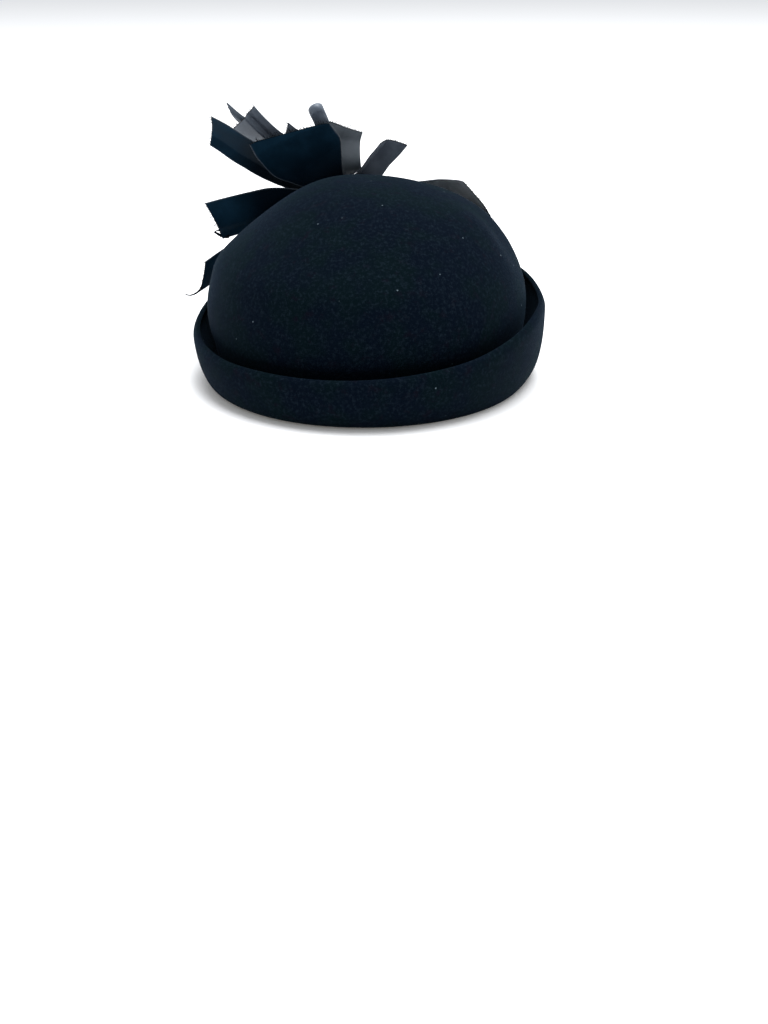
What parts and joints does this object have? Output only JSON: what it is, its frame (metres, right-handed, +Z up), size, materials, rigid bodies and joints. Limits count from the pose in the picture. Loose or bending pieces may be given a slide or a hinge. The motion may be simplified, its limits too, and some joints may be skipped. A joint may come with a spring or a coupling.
{
  "type": "felt hat with turned-up brim and ribbon spray",
  "caption": "Woman's black felt hat with a round crown, a tall turned-up brim that is higher at the front, and a spray of cut ribbon tails and a loop at the left front.",
  "frame": {"origin": "middle of the whole hat's box, at the floor that the brim rests on", "axes": "+Z up; the wearer faces -Y, so +Y is the back of the hat; +X is the wearer's left, where the ribbon spray is"},
  "size_m": [0.198, 0.2352, 0.1405],
  "materials": {
    "felt": "black wool felt with a short nap and a faint navy cast",
    "ribbon": "black ribbed ribbon with a soft sheen and frayed cut ends"
  },
  "bodies": {
    "root": {"crown": "felt", "brim": "felt", "tail_side": "ribbon", "tail_side_low": "ribbon", "tail_right": "ribbon", "tail_cupped": "ribbon", "tail_right_up": "ribbon", "tail_folded": "ribbon", "tail_left": "ribbon", "tail_short": "ribbon", "tail_creased": "ribbon", "tail_curled": "ribbon", "loop": "ribbon", "knot": "ribbon"}
  },
  "joints": []
}
